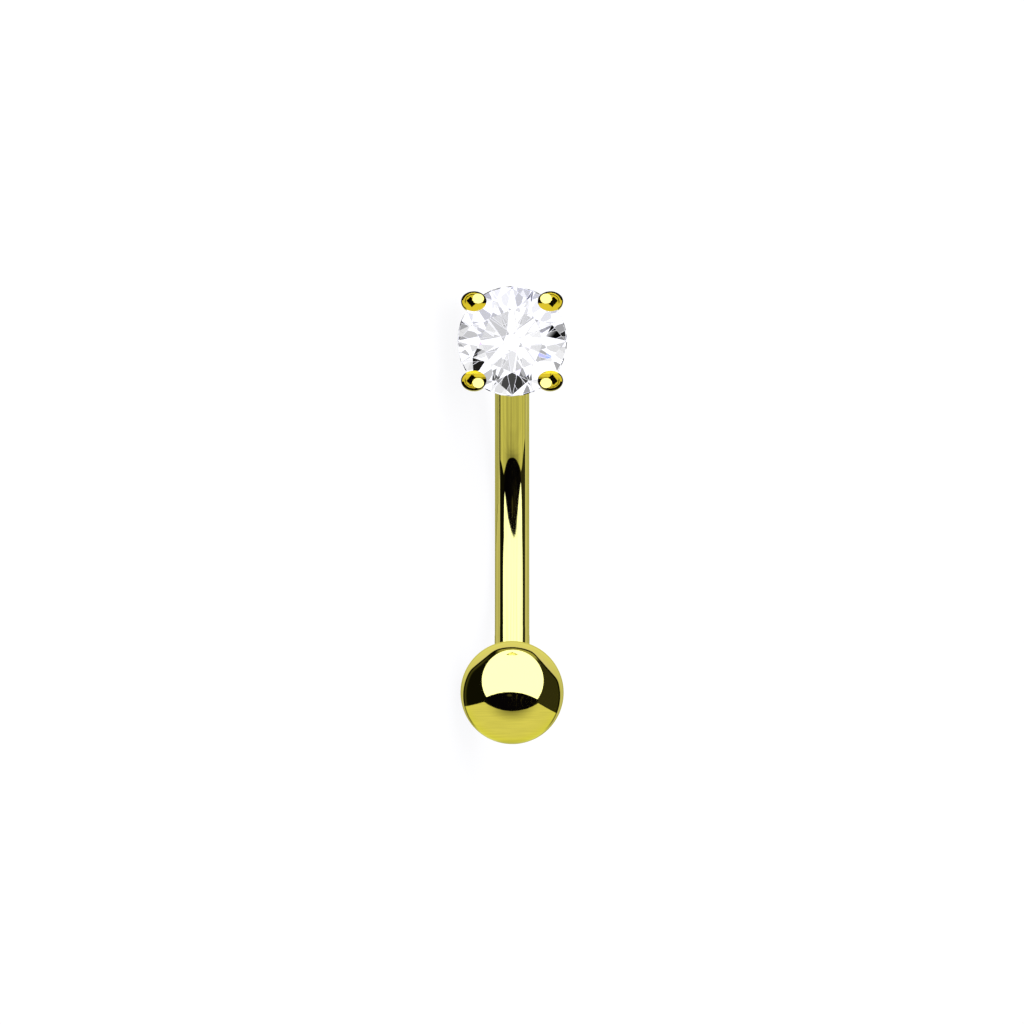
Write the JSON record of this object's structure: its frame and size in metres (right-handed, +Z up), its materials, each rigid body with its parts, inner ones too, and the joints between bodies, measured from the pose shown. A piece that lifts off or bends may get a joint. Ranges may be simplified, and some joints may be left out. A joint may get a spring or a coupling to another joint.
{
  "type": "eyebrow barbell",
  "caption": "Curved eyebrow barbell in yellow metal: an arched bar with a round clear stone in a prong setting at one end and a screw-on ball at the other, lying on its side.",
  "frame": {"origin": "on the table that it lies on, under the middle of its outline", "axes": "+X from the stone to the ball along the table, +Y from the stone's face to the bend's back, +Z up"},
  "size_m": [0.0132, 0.0058, 0.0037],
  "materials": {
    "gold_metal": "mirror polished",
    "clear_stone": "faceted and polished"
  },
  "bodies": {
    "bar": {"bar_with_setting": "gold_metal", "stone": "clear_stone"},
    "ball": {"ball": "gold_metal"}
  },
  "joints": [
    {"name": "ball_unscrew", "type": "slide", "parent": "bar", "child": "ball", "axis": [0.6289, -0.7462, 0.2182], "range_m": [0, 0.002]}
  ]
}
